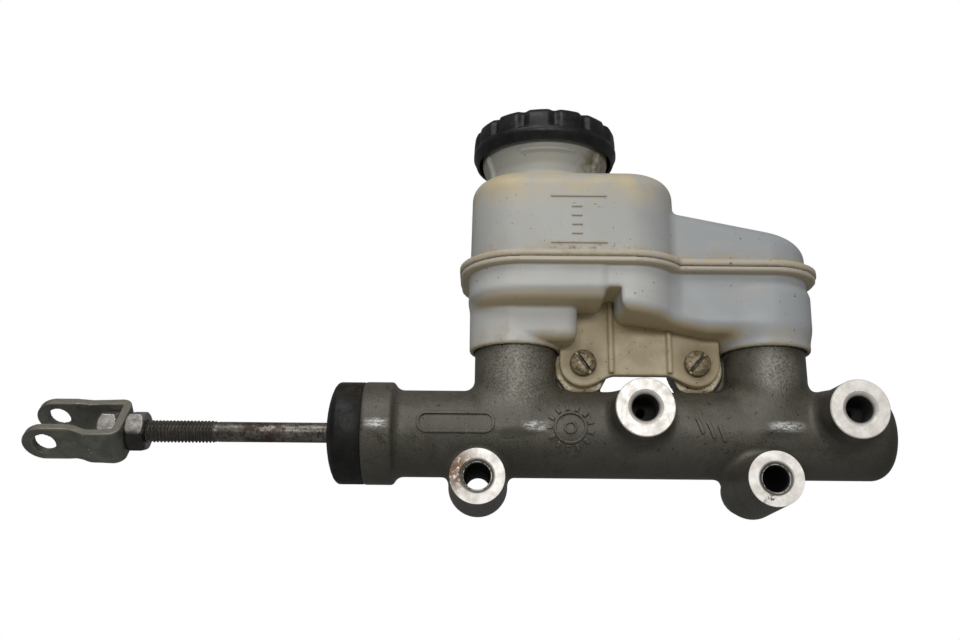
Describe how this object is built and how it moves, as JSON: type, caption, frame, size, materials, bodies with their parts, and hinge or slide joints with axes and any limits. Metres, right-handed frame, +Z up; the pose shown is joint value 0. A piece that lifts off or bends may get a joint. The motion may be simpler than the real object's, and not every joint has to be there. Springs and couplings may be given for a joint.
{
  "type": "brake master cylinder",
  "caption": "Tandem hydraulic brake master cylinder with a cast barrel, a two-lobed plastic reservoir with a screw cap, a dust boot and a push rod with a clevis.",
  "frame": {"origin": "midway between the two mounting holes, in the plane of the bosses' rear seat faces", "axes": "+X runs along the bore from the push rod to the closed end, +Y points out of the rear seat faces, away from the ports, and +Z points up to the reservoir cap"},
  "size_m": [0.3062, 0.0637, 0.1449],
  "materials": {
    "cast_aluminium": "sand-cast, dull grey brown, with machined end faces",
    "milky_plastic": "translucent milky plastic, slightly yellowed",
    "black_plastic": "moulded, satin",
    "black_rubber": "matt rubber",
    "zinc_steel": "zinc plated, stained",
    "dark_steel": "dark plated steel with rust",
    "pressed_steel": "pressed strip, grey green plating",
    "spring_steel": "drawn wire",
    "turned_aluminium": "turned and anodised",
    "seal_rubber": "smooth rubber"
  },
  "bodies": {
    "root": {"cylinder_body": "cast_aluminium", "reservoir_lower_shell": "milky_plastic", "reservoir_upper_shell": "milky_plastic", "tower_grommets": "black_rubber", "reservoir_screws": "zinc_steel", "dust_boot": "black_rubber", "snap_ring": "spring_steel", "stop_washer": "zinc_steel", "secondary_stop_pin": "dark_steel"},
    "primary_piston_group": {"primary_piston": "turned_aluminium", "primary_rear_seal": "seal_rubber", "primary_cup": "seal_rubber", "primary_cup_washer": "zinc_steel", "primary_spring": "spring_steel", "spring_retainer_screw": "zinc_steel"},
    "secondary_piston_group": {"secondary_piston": "turned_aluminium", "secondary_rear_seal": "seal_rubber", "secondary_pressure_cup": "seal_rubber", "secondary_front_cup": "seal_rubber", "secondary_cup_washer": "zinc_steel", "secondary_spring_seat": "zinc_steel", "secondary_spring": "spring_steel", "primary_spring_retainer": "zinc_steel"},
    "ball_retainer": {"rod_ball_retainer": "zinc_steel"},
    "push_rod_group": {"push_rod": "dark_steel", "lock_nut": "dark_steel", "clevis": "pressed_steel", "clevis_inner_nut": "dark_steel"},
    "cap_seal": {"cap_diaphragm": "black_rubber"},
    "cap": {"reservoir_cap": "black_plastic"}
  },
  "joints": [
    {"name": "piston_stroke", "type": "slide", "parent": "root", "child": "primary_piston_group", "axis": [1, 0, 0], "range_m": [0, 0.024], "stiffness_N_per_m": 900, "springref_m": -0.02, "deforming": ["primary_spring", "secondary_spring"]},
    {"name": "secondary_stroke", "type": "slide", "parent": "root", "child": "secondary_piston_group", "axis": [1, 0, 0], "range_m": [0, 0.012]},
    {"name": "rod_tilt", "type": "hinge", "parent": "primary_piston_group", "child": "ball_retainer", "pos_m": [-0.0723, -0.0105, 0.01885], "axis": [0, 1, 0], "range_deg": [-1.8, 1.8]},
    {"name": "rod_spin", "type": "hinge", "parent": "ball_retainer", "child": "push_rod_group", "pos_m": [-0.0723, -0.0105, 0.01885], "axis": [1, 0, 0], "continuous": true},
    {"name": "cap_lift", "type": "slide", "parent": "root", "child": "cap_seal", "axis": [0, 0, 1], "range_m": [0, 0.012]},
    {"name": "cap_turn", "type": "hinge", "parent": "cap_seal", "child": "cap", "pos_m": [-0.0236, -0.0105, 0.12885], "axis": [0, 0, 1], "range_deg": [0, 720]}
  ],
  "couplings": [
    {"joint": "secondary_stroke", "follows": "piston_stroke", "ratio": 0.5},
    {"joint": "cap_turn", "follows": "cap_lift", "rad_per_m": 1047.2}
  ]
}
